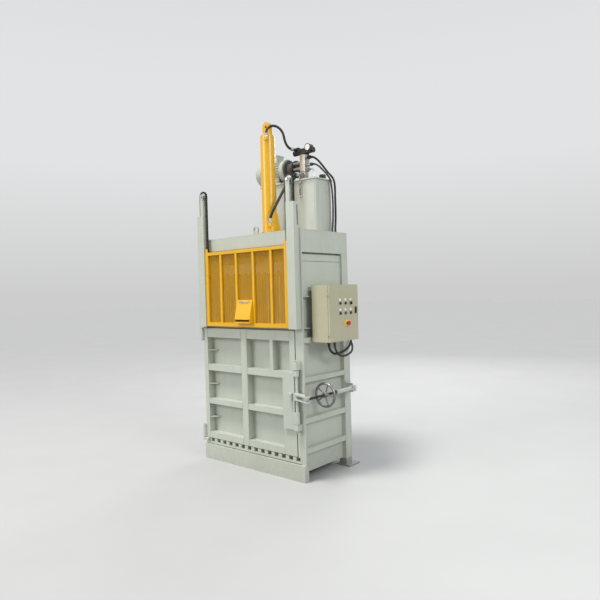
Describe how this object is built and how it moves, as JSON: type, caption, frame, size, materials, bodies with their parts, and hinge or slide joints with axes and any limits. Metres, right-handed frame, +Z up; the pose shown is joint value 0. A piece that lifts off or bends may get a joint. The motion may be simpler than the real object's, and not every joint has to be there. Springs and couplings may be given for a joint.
{
  "type": "vertical recycling baler",
  "caption": "Upright baler for cardboard and film: steel body, mesh gate lifted on chains, side-hinged bale door with screw lock, top cylinder, power pack and control cabinet",
  "frame": {"origin": "middle of the body's footprint, on the floor", "axes": "X to the right seen from the front, Y to the back, Z up; the bale door and the gate face -Y"},
  "size_m": [1.59, 0.9108, 3.2529],
  "materials": {
    "grey_paint": "pale grey-green gloss paint, worn",
    "base_paint": "grey paint, dusty",
    "yellow_paint": "yellow-orange gloss paint",
    "tank_paint": "pale grey gloss paint",
    "cabinet_paint": "beige textured powder coat",
    "bright_steel": "turned and zinc-plated steel",
    "piston_chrome": "hard chrome",
    "cast_iron": "rough casting",
    "chain_steel": "dark oiled steel",
    "valve_steel": "ground steel block with black fittings",
    "black_plastic": "matt black",
    "hose_rubber": "black rubber and corrugated plastic",
    "red_plastic": "red gloss",
    "tag_plastic": "white, no lettering"
  },
  "bodies": {
    "frame": {"base_sill": "grey_paint", "base_frame": "base_paint", "rear_feet": "base_paint", "chamber_floor": "grey_paint", "left_wall": "grey_paint", "right_wall": "grey_paint", "rear_wall": "grey_paint", "lock_post": "grey_paint", "top_frame": "grey_paint", "top_deck": "grey_paint", "left_gate_post": "grey_paint", "right_gate_post": "grey_paint", "wheel_axles": "bright_steel", "left_chain": "chain_steel", "right_chain": "chain_steel", "hinge_brackets": "grey_paint", "hinge_pins": "bright_steel", "lock_rod": "grey_paint", "screw_bracket": "grey_paint", "frame_bolts": "bright_steel", "cylinder_barrel": "yellow_paint", "oil_tank": "tank_paint", "tank_lid": "tank_paint", "tank_fittings": "bright_steel", "motor_body": "tank_paint", "fan_cowl": "tank_paint", "pump_housing": "cast_iron", "valve_manifold": "valve_steel", "solenoid_valve": "black_plastic", "top_hose": "hose_rubber", "lower_hose": "hose_rubber", "conduits": "hose_rubber", "cabinet_box": "cabinet_paint"},
    "door": {"door_frame": "grey_paint", "door_skin": "grey_paint", "striker_plate": "grey_paint"},
    "latch": {"latch_lever": "grey_paint"},
    "swivel": {"screw_swivel": "bright_steel"},
    "screw": {"screw_rod": "chain_steel", "handwheel": "bright_steel"},
    "gate": {"gate_frame": "yellow_paint", "gate_mesh": "yellow_paint", "gate_handle": "yellow_paint"},
    "left_wheel": {"left_chain_wheel": "bright_steel"},
    "right_wheel": {"right_chain_wheel": "bright_steel"},
    "left_weight": {"left_counterweight": "cast_iron"},
    "right_weight": {"right_counterweight": "cast_iron"},
    "ram": {"platen": "base_paint", "piston_rod": "piston_chrome"},
    "panel_door": {"cabinet_door": "cabinet_paint", "label_tags": "tag_plastic"},
    "panel_lock": {"cabinet_lock": "black_plastic"},
    "selector": {"selector_knob": "black_plastic"},
    "stop": {"emergency_stop": "red_plastic"},
    "button_1": {"push_button_1": "black_plastic"},
    "button_2": {"push_button_2": "black_plastic"},
    "button_3": {"push_button_3": "black_plastic"},
    "button_4": {"push_button_4": "black_plastic"},
    "button_5": {"push_button_5": "black_plastic"},
    "fan": {"motor_fan": "black_plastic"}
  },
  "joints": [
    {"name": "door_hinge", "type": "hinge", "parent": "frame", "child": "door", "pos_m": [-0.668, -0.338, 0.75], "axis": [0, 0, -1], "range_deg": [0, 125]},
    {"name": "latch_hinge", "type": "hinge", "parent": "frame", "child": "latch", "pos_m": [0.592, -0.364, 0.733], "axis": [0, 0, -1], "range_deg": [0, 13.5]},
    {"name": "screw_slide", "type": "slide", "parent": "frame", "child": "swivel", "axis": [0, -1, 0], "range_m": [0, 0.0459]},
    {"name": "handwheel_turn", "type": "hinge", "parent": "swivel", "child": "screw", "pos_m": [0.745, -0.17, 0.733], "axis": [0, 1, 0], "range_deg": [0, 1647]},
    {"name": "gate_lift", "type": "slide", "parent": "frame", "child": "gate", "axis": [0, 0, 1], "range_m": [0, 0.48]},
    {"name": "left_wheel_turn", "type": "hinge", "parent": "frame", "child": "left_wheel", "pos_m": [-0.564, -0.36, 2.578], "axis": [0, 1, 0], "range_deg": [-643.5, 0]},
    {"name": "right_wheel_turn", "type": "hinge", "parent": "frame", "child": "right_wheel", "pos_m": [0.564, -0.36, 2.578], "axis": [0, 1, 0], "range_deg": [0, 643.5]},
    {"name": "left_weight_slide", "type": "slide", "parent": "frame", "child": "left_weight", "axis": [0, 0, 1], "range_m": [-0.48, 0]},
    {"name": "right_weight_slide", "type": "slide", "parent": "frame", "child": "right_weight", "axis": [0, 0, 1], "range_m": [-0.48, 0]},
    {"name": "ram_slide", "type": "slide", "parent": "frame", "child": "ram", "axis": [0, 0, -1], "range_m": [0, 0.74]},
    {"name": "panel_door_hinge", "type": "hinge", "parent": "frame", "child": "panel_door", "pos_m": [0.872, -0.243, 1.4325], "axis": [0, 0, -1], "range_deg": [0, 110]},
    {"name": "panel_lock_turn", "type": "hinge", "parent": "panel_door", "child": "panel_lock", "pos_m": [0.87, 0.131, 1.451], "axis": [1, 0, 0], "range_deg": [0, 90]},
    {"name": "selector_turn", "type": "hinge", "parent": "panel_door", "child": "selector", "pos_m": [0.87, 0.058, 1.515], "axis": [1, 0, 0], "range_deg": [-45, 45]},
    {"name": "emergency_stop_press", "type": "slide", "parent": "panel_door", "child": "stop", "axis": [-1, 0, 0], "range_m": [0, 0.005]},
    {"name": "button_1_press", "type": "slide", "parent": "panel_door", "child": "button_1", "axis": [-1, 0, 0], "range_m": [0, 0.0035], "stiffness_N_per_m": 800, "springref_m": -0.001},
    {"name": "button_2_press", "type": "slide", "parent": "panel_door", "child": "button_2", "axis": [-1, 0, 0], "range_m": [0, 0.0035], "stiffness_N_per_m": 800, "springref_m": -0.001},
    {"name": "button_3_press", "type": "slide", "parent": "panel_door", "child": "button_3", "axis": [-1, 0, 0], "range_m": [0, 0.0035], "stiffness_N_per_m": 800, "springref_m": -0.001},
    {"name": "button_4_press", "type": "slide", "parent": "panel_door", "child": "button_4", "axis": [-1, 0, 0], "range_m": [0, 0.0035], "stiffness_N_per_m": 800, "springref_m": -0.001},
    {"name": "button_5_press", "type": "slide", "parent": "panel_door", "child": "button_5", "axis": [-1, 0, 0], "range_m": [0, 0.0035], "stiffness_N_per_m": 800, "springref_m": -0.001},
    {"name": "fan_spin", "type": "hinge", "parent": "frame", "child": "fan", "pos_m": [-0.367, 0.32, 2.842], "axis": [1, 0, 0], "continuous": true}
  ],
  "couplings": [
    {"joint": "screw_slide", "follows": "latch_hinge", "m_per_rad": 0.19381},
    {"joint": "handwheel_turn", "follows": "latch_hinge", "ratio": 121.77},
    {"joint": "left_wheel_turn", "follows": "gate_lift", "rad_per_m": -23.362},
    {"joint": "right_wheel_turn", "follows": "gate_lift", "rad_per_m": 23.362},
    {"joint": "left_weight_slide", "follows": "gate_lift", "ratio": -1},
    {"joint": "right_weight_slide", "follows": "gate_lift", "ratio": -1}
  ]
}
